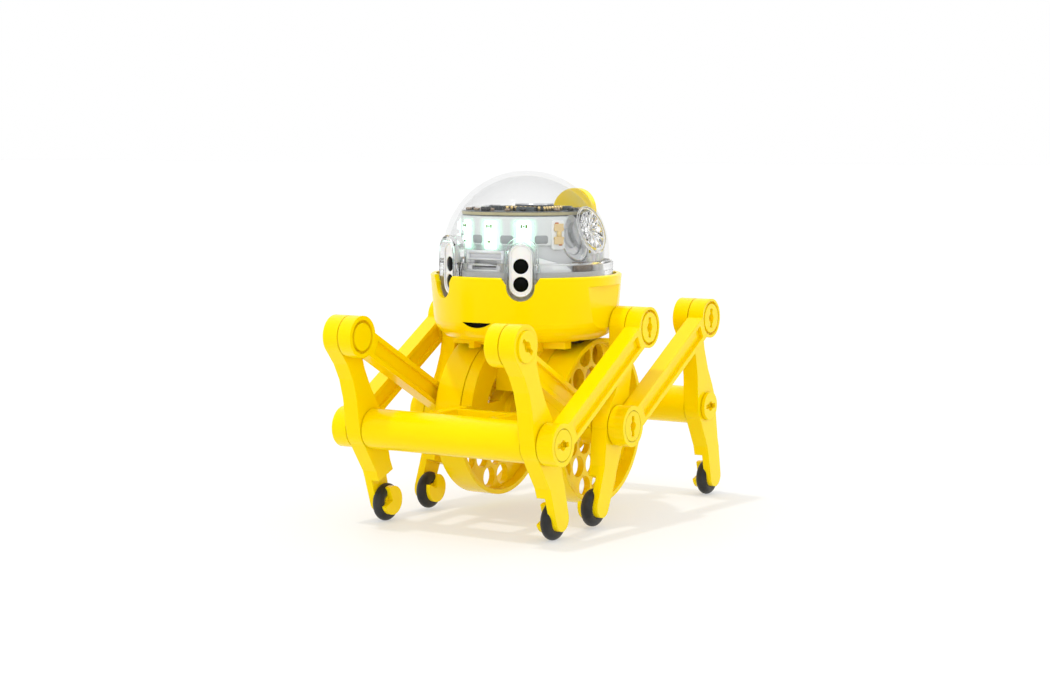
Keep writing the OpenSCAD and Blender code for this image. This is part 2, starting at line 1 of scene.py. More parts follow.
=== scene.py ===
"""Looks of the six-legged walking kit with its docked pocket robot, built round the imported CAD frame."""

import json
import math
import random

import bmesh
import bpy
from mathutils import Matrix, Vector


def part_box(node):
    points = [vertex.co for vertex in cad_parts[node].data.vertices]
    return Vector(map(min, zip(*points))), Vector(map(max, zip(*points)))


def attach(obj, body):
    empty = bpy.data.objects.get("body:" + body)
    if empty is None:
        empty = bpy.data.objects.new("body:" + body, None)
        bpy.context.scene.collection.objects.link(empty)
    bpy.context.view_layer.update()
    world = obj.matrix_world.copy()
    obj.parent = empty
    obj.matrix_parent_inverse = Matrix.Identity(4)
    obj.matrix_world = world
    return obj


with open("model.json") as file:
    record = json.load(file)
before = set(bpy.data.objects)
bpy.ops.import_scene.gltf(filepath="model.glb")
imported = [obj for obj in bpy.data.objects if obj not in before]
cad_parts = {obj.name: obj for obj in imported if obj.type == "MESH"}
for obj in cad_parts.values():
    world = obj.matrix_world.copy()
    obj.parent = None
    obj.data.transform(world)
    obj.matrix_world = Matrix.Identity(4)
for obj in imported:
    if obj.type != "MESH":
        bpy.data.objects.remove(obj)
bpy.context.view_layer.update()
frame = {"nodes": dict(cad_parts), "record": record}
MM = 0.001
RNG = random.Random(7)
scene = bpy.context.scene
scene.view_settings.view_transform = "Standard"


# ---- places that the rest is measured from, in metres ----

DOME_LOW, DOME_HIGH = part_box("robot_dome")
DOME_R = (DOME_HIGH.x - DOME_LOW.x) / 2
ROBOT_Y = (DOME_LOW.y + DOME_HIGH.y) / 2
DOME_Z = DOME_HIGH.z - DOME_R
DECK_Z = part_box("robot_deck")[0].z + 1.2 * MM
BOARD_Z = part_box("top_board")[0].z
EYE_ANGLE = math.radians(28.5)  # each eye, to either side of straight ahead
BEZEL_LOW, BEZEL_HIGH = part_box("eye_bezels")
EYE_Z = (BEZEL_LOW.z + BEZEL_HIGH.z) / 2
BUTTON_TILT = math.radians(19)  # above level, on the robot's +X side
BUTTON_FACE = 15.5 * MM  # from the dome's centre along the button's axis
BAND_R = -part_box("led_band")[0].x  # the side that the button's bore doesn't cut
PLATE_R = BAND_R + 0.02 * MM  # backs of the plates on the band
LIT_END = 8.5 * MM  # the lights past this X are unlit


# ---- camera ----


def make_camera():
    """Camera at the viewing angle of the product picture: long lens, a little above the legs."""
    data = bpy.data.cameras.new("camera")
    data.sensor_width = 36
    data.lens = 69.18
    data.clip_start = 0.01
    obj = bpy.data.objects.new("camera", data)
    scene.collection.objects.link(obj)
    obj.location = (0.20306, -0.32961, 0.07052)
    turn, dip = math.radians(31.95), math.radians(5.72)
    ahead = Vector((-math.sin(turn) * math.cos(dip), math.cos(turn) * math.cos(dip), -math.sin(dip)))
    obj.rotation_euler = ahead.to_track_quat("-Z", "Y").to_euler()
    scene.camera = obj


make_camera()


# ---- material helpers ----


class Shader:
    """One node-based material, with short calls for the nodes that it needs."""

    def __init__(self, name):
        self.material = bpy.data.materials.new(name)
        self.material.use_nodes = True
        self.tree = self.material.node_tree
        self.bsdf = self.tree.nodes["Principled BSDF"]
        self.where = self.node("ShaderNodeTexCoord").outputs["Object"]

    def node(self, kind, **settings):
        made = self.tree.nodes.new(kind)
        for key, value in settings.items():
            setattr(made, key, value)
        return made

    def link(self, output, socket):
        self.tree.links.new(output, socket)

    def set(self, **values):
        """Sets sockets of the shader: Base_Color=(r, g, b), Roughness=0.3 and so on."""
        for key, value in values.items():
            socket = self.bsdf.inputs[key.replace("_", " ")]
            socket.default_value = (*value, 1) if key.endswith(("Color", "Tint")) else value

    def noise(self, scale, detail=3, roughness=0.5):
        made = self.node("ShaderNodeTexNoise")
        made.inputs["Scale"].default_value = scale
        made.inputs["Detail"].default_value = detail
        made.inputs["Roughness"].default_value = roughness
        self.link(self.where, made.inputs["Vector"])
        return made.outputs["Fac"]

    def cells(self, scale):
        """Distance to the middle of the nearest of many cells."""
        made = self.node("ShaderNodeTexVoronoi")
        made.inputs["Scale"].default_value = scale
        self.link(self.where, made.inputs["Vector"])
        return made.outputs["Distance"]

    def ramp(self, value, stops):
        """Colours or greys along a value: stops are (place, colour)."""
        made = self.node("ShaderNodeValToRGB")
        ramp = made.color_ramp
        while len(ramp.elements) < len(stops):
            ramp.elements.new(0.5)
        for element, (place, colour) in zip(ramp.elements, stops):
            element.position = place
            element.color = (*colour, 1) if hasattr(colour, "__len__") else (colour,) * 3 + (1,)
        self.link(value, made.inputs["Fac"])
        return made.outputs["Color"]

    def span(self, value, low, high):
        """Maps 0..1 to low..high."""
        made = self.node("ShaderNodeMapRange")
        made.inputs["To Min"].default_value = low
        made.inputs["To Max"].default_value = high
        self.link(value, made.inputs["Value"])
        return made.outputs["Result"]

    def bump(self, height, distance, strength=1.0, edge=0.0):
        """Bump of a height in metres, over edges rounded to a radius."""
        made = self.node("ShaderNodeBump")
        made.inputs["Strength"].default_value = strength
        made.inputs["Distance"].default_value = distance
        self.link(height, made.inputs["Height"])
        if edge:
            rounded = self.node("ShaderNodeBevel", samples=6)
            rounded.inputs["Radius"].default_value = edge
            self.link(rounded.outputs["Normal"], made.inputs["Normal"])
        self.link(made.outputs["Normal"], self.bsdf.inputs["Normal"])


POLISHED, SATIN, MATT = (0.16, 0.3), (0.3, 0.5), (0.35, 0.5)  # ranges of roughness
EDGE = 0.22 * MM  # radius that rounds a moulded edge


def moulded(name, colour, deep, roughness=POLISHED, coat=0.1, glow=0.0, shine=(1, 1, 1), level=0.4):
    """Injection-moulded plastic: slight colour drift, fine flow texture, worn shine and rounded edges.

    With glow, light passes below the surface; shine tints the highlights, and level is their strength.
    """
    s = Shader(name)
    s.set(Specular_IOR_Level=level, Specular_Tint=shine, Coat_Weight=coat, Coat_Roughness=0.12)
    if glow:
        s.set(Subsurface_Weight=glow, Subsurface_Radius=(1.0, 0.55, 0.05), Subsurface_Scale=0.9 * MM)
    drift = s.noise(70, 4)
    s.link(s.ramp(drift, [(0.3, deep), (0.7, colour)]), s.bsdf.inputs["Base Color"])
    s.link(s.span(s.noise(260, 5, 0.62), *roughness), s.bsdf.inputs["Roughness"])
    s.bump(s.noise(900, 4, 0.6), 0.012 * MM, 0.5, EDGE)
    return s.material


def rubber(name):
    """Moulded rubber with a fine grain and a dusty sheen on its high places."""
    s = Shader(name)
    s.set(Specular_IOR_Level=0.35, Sheen_Weight=0.12, Sheen_Roughness=0.5)
    grain = s.noise(2600, 4, 0.7)
    s.link(s.ramp(s.noise(420, 5), [(0.35, 0.008), (0.7, 0.026)]), s.bsdf.inputs["Base Color"])
    s.link(s.span(grain, 0.42, 0.66), s.bsdf.inputs["Roughness"])
    s.bump(grain, 0.03 * MM, 0.6)
    return s.material


def clear(name, colour=(0.32, 0.34, 0.34), veil=(0.02, 0.22)):
    """Thin polished polycarbonate: a faint veil face on, denser at its edges, with moulding ripples."""
    s = Shader(name)
    s.set(Base_Color=colour, Specular_IOR_Level=0.3)
    edge_on = s.node("ShaderNodeLayerWeight")
    edge_on.inputs["Blend"].default_value = 0.25
    s.link(s.span(edge_on.outputs["Facing"], *veil), s.bsdf.inputs["Alpha"])
    s.link(s.span(s.noise(180, 3), 0.02, 0.06), s.bsdf.inputs["Roughness"])
    s.bump(s.noise(90, 2), 0.03 * MM, 0.05)
    return s.material


def cut_glass(name):
    """Thick clear plastic that bends the light."""
    s = Shader(name)
    s.set(Base_Color=(0.985, 0.99, 0.99), Transmission_Weight=1.0, IOR=1.49)
    s.link(s.span(s.noise(180, 3), 0.01, 0.04), s.bsdf.inputs["Roughness"])
    s.bump(s.noise(600, 2), 0.05 * MM, 0.1)
    return s.material


def metal(name, colour, dark, roughness=(0.22, 0.42)):
    """Drawn or stamped metal with fine streaks."""
    s = Shader(name)
    s.set(Metallic=1.0)
    stretch = s.node("ShaderNodeMapping")
    stretch.inputs["Scale"].default_value = (60, 1400, 1400)
    s.link(s.where, stretch.inputs["Vector"])
    streak = s.node("ShaderNodeTexNoise")
    streak.inputs["Scale"].default_value = 1
    streak.inputs["Detail"].default_value = 4
    s.link(stretch.outputs["Vector"], streak.inputs["Vector"])
    s.link(s.ramp(streak.outputs["Fac"], [(0.3, dark), (0.7, colour)]), s.bsdf.inputs["Base Color"])
    s.link(s.span(streak.outputs["Fac"], *roughness), s.bsdf.inputs["Roughness"])
    s.bump(streak.outputs["Fac"], 0.01 * MM, 0.3, 0.08 * MM)
    return s.material


def board(name, mask, pad):
    """Solder mask with copper traces below it and small bright pads."""
    s = Shader(name)
    s.set(Coat_Weight=0.5, Coat_Roughness=0.15)
    brick = s.node("ShaderNodeTexBrick")
    brick.inputs["Scale"].default_value = 520
    brick.inputs["Mortar Size"].default_value = 0.035
    brick.inputs["Color1"].default_value = (*mask, 1)
    brick.inputs["Color2"].default_value = (*[c * 0.7 for c in mask], 1)
    brick.inputs["Mortar"].default_value = (*[min(1, c * 1.8 + 0.01) for c in mask], 1)
    s.link(s.where, brick.inputs["Vector"])
    near = s.ramp(s.cells(900), [(0.11, 1.0), (0.15, 0.0)])
    mix = s.node("ShaderNodeMix", data_type="RGBA")
    s.link(near, mix.inputs["Factor"])
    s.link(brick.outputs["Color"], mix.inputs["A"])
    mix.inputs["B"].default_value = (*pad, 1)
    s.link(mix.outputs["Result"], s.bsdf.inputs["Base Color"])
    s.link(s.span(s.noise(500), 0.3, 0.5), s.bsdf.inputs["Roughness"])
    s.bump(brick.outputs["Fac"], 0.02 * MM, 0.4)
    return s.material


UNLIT_AMBER = (0.78, 0.6, 0.32)


def glowing(name, colour, strength, lit_below=None, faded=False):
    """Lit phosphor, and the painted glow that it spills, whiter in places; with lit_below, what lies beyond
    that X stays unlit and amber.

    With faded, the mesh attribute "fade" makes it see-through towards its edge, so that the painted glow of a
    halo fades out.
    """
    s = Shader(name)
    s.set(Base_Color=colour, Roughness=0.4, Emission_Strength=strength)
    s.link(s.ramp(s.noise(900, 2), [(0.3, colour), (0.75, (0.85, 1, 0.92))]), s.bsdf.inputs["Emission Color"])
    if faded:
        fade = s.node("ShaderNodeAttribute", attribute_name="fade")
        s.link(fade.outputs["Fac"], s.bsdf.inputs["Alpha"])
    if lit_below is not None:
        place = s.node("ShaderNodeSeparateXYZ")
        s.link(s.node("ShaderNodeNewGeometry").outputs["Position"], place.inputs["Vector"])
        lit = s.node("ShaderNodeMath", operation="LESS_THAN")
        lit.inputs[1].default_value = lit_below
        s.link(place.outputs["X"], lit.inputs[0])
        s.link(s.span(lit.outputs["Value"], 0.0, strength), s.bsdf.inputs["Emission Strength"])
        s.link(s.ramp(lit.outputs["Value"], [(0.3, UNLIT_AMBER), (0.7, colour)]), s.bsdf.inputs["Base Color"])
    return s.material


CUT_GLASS = cut_glass("cut_glass")
MATERIALS = {
    "yellow_plastic": moulded(
        "yellow_plastic", (1.0, 0.74, 0.0), (0.99, 0.71, 0.0), coat=0.03, glow=0.3, shine=(1, 0.8, 0.05)
    ),
    "black_rubber": rubber("black_rubber"),
    "gloss_black": moulded(
        "gloss_black", (0.002, 0.003, 0.002), (0.001, 0.001, 0.001), (0.08, 0.2), coat=0.02, level=0.04
    ),
    "clear_plastic": clear("clear_plastic"),
    "white_plastic": moulded("white_plastic", (0.9, 0.9, 0.89), (0.84, 0.84, 0.83), glow=0.15),
    "grey_plastic": moulded("grey_plastic", (0.74, 0.76, 0.77), (0.66, 0.68, 0.7), MATT),
    "band_film": moulded("band_film", (0.82, 0.85, 0.85), (0.7, 0.74, 0.74), MATT),
    "circuit_board": board("circuit_board", (0.06, 0.07, 0.075), (0.75, 0.7, 0.55)),
    "led_glow": glowing("led_glow", (0.5, 1.0, 0.72), 2.2, lit_below=LIT_END),
    "bare_metal": metal("bare_metal", (0.72, 0.73, 0.75), (0.5, 0.51, 0.53)),
    "dark_plastic": moulded("dark_plastic", (0.05, 0.05, 0.055), (0.03, 0.03, 0.032), MATT),
    "steel": metal("steel", (0.75, 0.76, 0.78), (0.56, 0.57, 0.59), (0.15, 0.3)),
}


def paint_nodes():
    """Gives every CAD node the material of its slot; the skirt is thick enough to bend light."""
    slots = {sub["node"]: sub["material_slot"] for sub in frame["record"]["subparts"]}
    for name, obj in frame["nodes"].items():
        obj.data.materials.clear()
        obj.data.materials.append(CUT_GLASS if name == "robot_skirt" else MATERIALS[slots[name]])


paint_nodes()


# ---- mesh helpers ----

SHARP = math.radians(40)


def new_piece(name, mesh_maker, slot, body="robot", material=None):
    """Makes a smooth piece from a function that fills a bmesh, and sets its body and material (the slot's, if
    none is given).
    """
    bm = bmesh.new()
    mesh_maker(bm)
    bmesh.ops.recalc_face_normals(bm, faces=bm.faces)
    for edge in bm.edges:
        edge.smooth = edge.calc_face_angle(0) < SHARP
    mesh = bpy.data.meshes.new(name)
    bm.to_mesh(mesh)
    bm.free()
    for polygon in mesh.polygons:
        polygon.use_smooth = True
    obj = bpy.data.objects.new(name, mesh)
    scene.collection.objects.link(obj)
    mesh.materials.append(material or MATERIALS[slot])
    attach(obj, body)


def ring_loft(bm, rings, closed_ends=True):
    """Skins a list of equally long rings of points."""
    rows = [[bm.verts.new(p) for p in ring] for ring in rings]
    count = len(rows[0])
    for a, b in zip(rows, rows[1:]):
        for i in range(count):
            j = (i + 1) % count
            bm.faces.new((a[i], a[j], b[j], b[i]))
    if closed_ends:
        bm.faces.new(rows[0])
        bm.faces.new(rows[-1][::-1])


def soft_box(bm, place, size, turn=0.0, round_off=0.12):
    """Block with bevelled edges, turned about Z, standing on its base centre."""
    matrix = Matrix.Translation(place) @ Matrix.Rotation(turn, 4, "Z")
    matrix = matrix @ Matrix.Translation((0, 0, size[2] / 2)) @ Matrix.Diagonal((*size, 1))
    made = bmesh.ops.create_cube(bm, size=1, matrix=matrix)
    edges = list({e for v in made["verts"] for e in v.link_edges})
    bmesh.ops.bevel(bm, geom=edges, offset=min(size) * round_off, segments=2, affect="EDGES")


def capsule(half_w, half_h, steps=14):
    """Outline of an upright slot with round ends, as (across, up) points."""
    straight = half_h - half_w
    top = [(half_w * math.cos(a), straight + half_w * math.sin(a)) for a in arc(0, math.pi, steps)]
    low = [(half_w * math.cos(a), -straight + half_w * math.sin(a)) for a in arc(math.pi, 2 * math.pi, steps)]
    return top + low


def arc(start, end, steps):
    """Angles from start to end, both included."""
    return [start + (end - start) * i / steps for i in range(steps + 1)]


def turns(steps):
    """Angles of one turn, without the last."""
    return [2 * math.pi * k / steps for k in range(steps)]


def on_wall(angle, radius, across, z):
    """Point at a radius from the robot's axis, at an angle from straight ahead, moved sideways by across."""
    out = Vector((math.sin(angle), -math.cos(angle), 0))
    side = Vector((math.cos(angle), math.sin(angle), 0))
    return Vector((0, ROBOT_Y, z)) + out * radius + side * across


# ---- eyes ----


def capsule_wall(bm, angle, sections):
    """Closed tube round an upright slot.

    Each section is (radius from the robot's axis, half width, half height).
    """
    rings = [
        [on_wall(angle, radius, across, EYE_Z + up) for across, up in capsule(half_w, half_h)]
        for radius, half_w, half_h in sections
    ]
    ring_loft(bm, rings + rings[:1], closed_ends=False)


def lens_dome(bm, place, out, radius, rise, rings=5, steps=24):
    """Shallow convex cap that faces out, with a closed back."""
    side = out.orthogonal().normalized()
    up = out.cross(side)
    loops = []
    for i in range(rings):
        share = i / rings
        loops.append([
            place + out * (rise * (1 - (1 - share) ** 2))
            + (side * math.cos(a) + up * math.sin(a)) * radius * (1 - share)
            for a in turns(steps)
        ])
    ring_loft(bm, loops)


def make_eyes():
    """Clear housings round the bezels, a rounded lip on each bezel, and a bright cap over each lens."""
    half_w, half_h = 2.2 * MM, 4.9 * MM
    housing_w, housing_h = 3.0 * MM, 6.2 * MM
    back, front = 14.6 * MM, 17.1 * MM
    face, lens_face = 16.4 * MM, 16.25 * MM  # of the bezels and of the lenses
    for name, sign in (("right", 1), ("left", -1)):
        angle = sign * EYE_ANGLE
        new_piece(
            f"eye_housing_{name}",
            lambda bm: capsule_wall(bm, angle, [
                (back, half_w + 0.1 * MM, half_h + 0.1 * MM),
                (face, half_w + 0.1 * MM, half_h + 0.1 * MM),
                (front, half_w + 0.3 * MM, half_h + 0.5 * MM),
                (front, housing_w - 0.15 * MM, housing_h - 0.15 * MM),
                (front - 0.15 * MM, housing_w, housing_h),
                (back, housing_w, housing_h),
            ]),
            "clear_plastic",
            material=CUT_GLASS,
        )
        new_piece(
            f"eye_lip_{name}",
            lambda bm: capsule_wall(bm, angle, [
                (face - 0.05 * MM, half_w - 0.02 * MM, half_h - 0.02 * MM),
                (face + 0.1 * MM, half_w - 0.06 * MM, half_h - 0.06 * MM),
                (face + 0.16 * MM, half_w - 0.2 * MM, half_h - 0.2 * MM),
                (face + 0.1 * MM, half_w - 0.36 * MM, half_h - 0.36 * MM),
                (face - 0.05 * MM, half_w - 0.42 * MM, half_h - 0.42 * MM),
            ]),
            "white_plastic",
        )
        out_dir = Vector((math.sin(angle), -math.cos(angle), 0))
        for place, up in (("upper", 0.8 * MM), ("lower", -2.5 * MM)):
            at = on_wall(angle, lens_face, 0, EYE_Z + up)
            new_piece(
                f"eye_glass_{name}_{place}",
                lambda bm: lens_dome(bm, at, out_dir, 1.25 * MM, 0.25 * MM),
                "gloss_black",
            )


# ---- electronics under the dome ----


def chip(name, place, size, material, turn=0.0, slot="dark_plastic"):
    """One bevelled block that rides on the robot; its size is in millimetres."""
    size = [v * MM for v in size]
    new_piece(name, lambda bm: soft_box(bm, Vector(place), size, turn), slot, material=material)


def make_top_board():
    """Radio module with pads and can, socket, coil, crystal, small parts and the board's bare edge."""
    thick, slab_w = 0.8, 8.4  # of the board and across the module, in millimetres
    top = BOARD_Z + thick * MM
    slab = Vector((2.6 * MM, ROBOT_Y - 1.0 * MM, top))
    metal_can = {"material": MATERIALS["bare_metal"], "slot": "bare_metal"}
    chip("radio_board", slab, (slab_w, slab_w, 0.8), DETAIL["dark_board"], slot="circuit_board")
    can = slab + Vector((-0.6 * MM, 0.8 * MM, 0.8 * MM))
    chip("radio_can", can, (5.2, 5.6, 0.45), **metal_can)

    def pads(bm):
        for i in range(8):
            along = (i - 3.5) * MM
            for side in (-1, 1):
                edge = side * slab_w * MM / 2
                for x, y in ((edge, along), (along, edge)):
                    soft_box(bm, slab + Vector((x, y, 0.04 * MM)), (0.5 * MM, 0.5 * MM, 0.8 * MM))

    new_piece("radio_pads", pads, "bare_metal", material=DETAIL["gold"])
    white = MATERIALS["white_plastic"]
    chip("board_socket", (-6.6 * MM, ROBOT_Y - 5.6 * MM, top), (2.0, 2.6, 0.9), white, 0.5, "white_plastic")
    chip("board_coil", (-3.4 * MM, ROBOT_Y - 8.6 * MM, top), (1.7, 1.7, 0.8), DETAIL["ferrite"], 0.2)
    chip("board_crystal", (-9.4 * MM, ROBOT_Y + 0.4 * MM, top), (1.2, 3, 0.8), **metal_can)

    def passives(bm, places):
        for x, y, turn in places:
            soft_box(bm, Vector((x, y, top)), (1.1 * MM, 0.6 * MM, 0.5 * MM), turn)

    spots = []
    while len(spots) < 30:
        a, r = RNG.uniform(0, 2 * math.pi), RNG.uniform(7.5, 11.2) * MM
        spots.append((r * math.cos(a), ROBOT_Y + r * math.sin(a), RNG.choice((0.0, math.pi / 2))))
    for name, places, kind in (
        ("board_capacitors", spots[::2], "ceramic"),
        ("board_resistors", spots[1::2], "ferrite"),
    ):
        new_piece(name, lambda bm: passives(bm, places), "dark_plastic", material=DETAIL[kind])

    def rim(bm):
        """Bare laminate edge of the board, just proud of it."""
        rings = []
        half = ((11.85, 0.12), (12.17, 0.12), (12.2, 0.2))
        for radius, z in half + tuple((radius, thick - z) for radius, z in reversed(half)):
            rings.append([
                Vector((radius * MM * math.cos(a), ROBOT_Y + radius * MM * math.sin(a), BOARD_Z + z * MM))
                for a in turns(96)
            ])
        ring_loft(bm, rings + rings[:1], closed_ends=False)

    new_piece("board_edge", rim, "circuit_board", material=DETAIL["laminate"])


def wall_plate(bm, angle, half_w, half_h, z, thick, bow):
    """Rounded upright plate that faces out from the band; bow is how far its sides lie back."""
    outline = rounded_rectangle(half_w, half_h, corner=0.45 * MM)
    rings = []
    for step, grow in ((0, 1.0), (thick * 0.75, 1.0), (thick, 0.93)):
        rings.append([
            on_wall(angle, PLATE_R + step - bow * (across / half_w) ** 2, across * grow, z + up * grow)
            for across, up in outline
        ])
    ring_loft(bm, rings)


def rounded_rectangle(half_w, half_h, corner, steps=4):
    """Rounded rectangle as (across, up) points."""
    points = []
    for cx, cy, start in ((1, 1, 0), (-1, 1, 90), (-1, -1, 180), (1, -1, 270)):
        for i in range(steps + 1):
            a = math.radians(start + 90 * i / steps)
            points.append((
                cx * (half_w - corner) + corner * math.cos(a),
                cy * (half_h - corner) + corner * math.sin(a),
            ))
    return points


def halo(bm, angle, z):
    """Painted glow of the light spilling into the band: a glowing skin close to the band round a lit window,
    which fades out away from it.
    """
    fade = bm.verts.layers.float.new("fade")
    skin_r = BAND_R + 0.06 * MM
    loops = []
    for half_w, half_h, share in ((1.2, 2.55, 0.85), (1.6, 2.75, 0.6), (2.1, 2.95, 0.22), (2.7, 3.15, 0.0)):
        loop = []
        for across, up in rounded_rectangle(half_w * MM, half_h * MM, corner=0.8 * MM, steps=6):
            radius = math.sqrt(skin_r ** 2 - across ** 2)
            vert = bm.verts.new(on_wall(angle, radius, across, z + up))
            vert[fade] = share
            loop.append(vert)
        loops.append(loop)
    for a, b in zip(loops, loops[1:]):
        for i in range(len(a)):
            j = (i + 1) % len(a)
            bm.faces.new((a[i], a[j], b[j], b[i]))


def make_led_windows():
    """Lit windows on the band with painted glow halos and chips, grey strips, and one unlit window with its
    parts.
    """
    lights_z = DOME_Z + 4.3 * MM
    window_z = lights_z - 0.2 * MM
    half_w, half_h = 1.35 * MM, 2.7 * MM
    lit = {"far_left": -60, "left": -30, "middle": 0, "right": 30}

    def window(name, angle, slot, kind):
        new_piece(
            name,
            lambda bm: wall_plate(bm, angle, half_w, half_h, window_z, thick=0.3 * MM, bow=0.1 * MM),
            slot,
            material=DETAIL[kind],
        )

    for name, degrees in lit.items():
        angle = math.radians(degrees)
        # painted glow: each halo is a glowing skin that stands in for the LED light spilling into the band
        # round its window
        new_piece(
            f"led_halo_{name}", lambda bm: halo(bm, angle, window_z), "led_glow", material=DETAIL["painted_led_glow"]
        )
        window(f"led_window_{name}", angle, "led_glow", "lit_window")

    led_low, led_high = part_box("led_lights")
    led_face = ROBOT_Y - led_low.y
    inset = 0.45 * MM
    lower, upper = led_low.z + inset, led_high.z - inset

    def lit_chips(bm):
        """Three small parts on the upper light of each window and one on the lower, in millimetres."""
        for degrees in lit.values():
            for place, across, wide, tall in (
                (upper, -0.45, 0.34, 0.6),
                (upper, 0.0, 0.3, 0.34),
                (upper, 0.45, 0.36, 0.66),
                (lower, 0.0, 0.66, 0.36),
            ):
                angle = math.radians(degrees)
                at = on_wall(angle, led_face, across * MM, place - tall / 2 * MM)
                soft_box(bm, at, (wide * MM, 0.12 * MM, tall * MM), angle)

    new_piece("led_window_chips", lit_chips, "dark_plastic", material=DETAIL["window_chip"])

    def strips(bm):
        strip_w, strip_h, strip_z = 1.25 * MM, 0.75 * MM, lights_z - 1.0 * MM
        for degrees in (-45, -15, 15, 45):
            angle = math.radians(degrees)
            wall_plate(bm, angle, strip_w, strip_h, strip_z, thick=0.12 * MM, bow=0.06 * MM)

    new_piece("led_band_strips", strips, "band_film", material=DETAIL["band_grey"])
    unlit = math.radians(60)
    window("led_window_unlit", unlit, "band_film", "clear_film")

    def parts(bm, places, size):
        """Small blocks in the unlit window, each at (across, up from lights_z); all in millimetres."""
        size = [v * MM for v in size]
        for across, up in places:
            at = on_wall(unlit, BAND_R + 0.42 * MM, across * MM, lights_z + up * MM - size[2] / 2)
            soft_box(bm, at, size, unlit)

    resistors = ((-0.4, 1.9), (0.4, -1.9), (-0.5, -1.5))
    pads = ((-0.8, 0.9), (0.9, 0.9), (-0.8, -0.8), (0.9, -0.8))
    for name, places, size, slot, kind in (
        ("unlit_resistors", resistors, (0.6, 0.4, 0.45), "dark_plastic", "orange"),
        ("unlit_emitter", ((0.1, 0.0),), (0.9, 0.4, 1.3), "dark_plastic", "phosphor"),
        ("unlit_pads", pads, (0.35, 0.3, 0.4), "bare_metal", "gold"),
    ):
        new_piece(name, lambda bm: parts(bm, places, size), slot, material=DETAIL[kind])


def make_deck_parts():
    """Ribs, light guide, coil, side block and sensor on the deck, and the socket's frame and tongue."""
    rib_r, chip_r = 14.0 * MM, 13.2 * MM

    def ribs(bm):
        for degrees in (92, 100, 108, 118, 130, 142, 160, 180, 200, 220, 240, 262, 280):
            angle = math.radians(degrees)
            soft_box(bm, on_wall(angle, rib_r, 0, DECK_Z), (0.7 * MM, 1.3 * MM, 3.2 * MM), angle)

    new_piece("deck_ribs", ribs, "white_plastic")

    def wedge(bm):
        """Light guide beside the right-hand eye, which gets lower as it runs back."""
        first, last, tall, drop = 42, 66, 2.6, 1.5
        rows = []
        for degrees in range(first, last + 1, 6):
            angle = math.radians(degrees)
            height = tall - drop * (degrees - first) / (last - first)
            profile = ((12.45, 0), (14.4, 0), (14.4, 0.4), (12.9, height), (12.45, height))
            rows.append([on_wall(angle, radius * MM, 0, DECK_Z + up * MM) for radius, up in profile])
        ring_loft(bm, rows)

    new_piece("deck_light_guide", wedge, "white_plastic", material=DETAIL["frosted"])
    for name, degrees, size, kind in (
        ("deck_coil", 82, (3.4, 2.0, 1.6), "brown"),
        ("deck_block_left", -60, (3.6, 2.2, 2.4), "frosted"),
        ("deck_sensor_left", -48, (1.4, 1.4, 1.8), "ferrite"),
    ):
        angle = math.radians(degrees)
        chip(name, on_wall(angle, chip_r, 0, DECK_Z), size, DETAIL[kind], angle)
    low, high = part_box("usb_socket")
    middle = (low + high) / 2
    width = high.x - low.x

    def frame_bars(bm):
        front = low.y - 0.12 * MM
        for z, tall in ((low.z, 0.5 * MM), (high.z - 0.6 * MM, 0.7 * MM), (low.z + 2.15 * MM, 0.35 * MM)):
            soft_box(bm, Vector((middle.x, front, z)), (width + 0.6 * MM, 0.35 * MM, tall))
        for side in (-1, 1):
            x = middle.x + side * (width / 2 + 0.1 * MM)
            soft_box(bm, Vector((x, front + 0.4 * MM, low.z)), (0.6 * MM, 1.2 * MM, high.z - low.z))

    new_piece("socket_frame", frame_bars, "white_plastic", material=DETAIL["frosted"])
    tongue = (middle.x, middle.y, low.z + 0.9 * MM)
    chip("socket_tongue", tongue, (4.2, 2.0, 0.5), MATERIALS["dark_plastic"])


# ---- power button ----


def button_point(along, radius, turn):
    """Point at a distance along the button's tilted axis from the dome centre, and at a radius about it."""
    out = Vector((math.cos(BUTTON_TILT), 0, math.sin(BUTTON_TILT)))
    up = Vector((-math.sin(BUTTON_TILT), 0, math.cos(BUTTON_TILT)))
    side = Vector((0, 1, 0))
    return Vector((0, ROBOT_Y, DOME_Z)) + out * along + (side * math.cos(turn) + up * math.sin(turn)) * radius


def button_rings(bm, profile, flutes=0, depth=0.0, steps=96):
    """Turned body about the button's axis; profile is (along, radius), and flutes ripple its middle."""
    loops = []
    for along, radius in profile:
        ripple = depth if 1.3 * MM < radius < 3.55 * MM else 0
        loops.append([
            button_point(along - ripple * (0.5 - 0.5 * math.cos(flutes * a)), radius, a)
            for a in turns(steps)
        ])
    ring_loft(bm, loops)


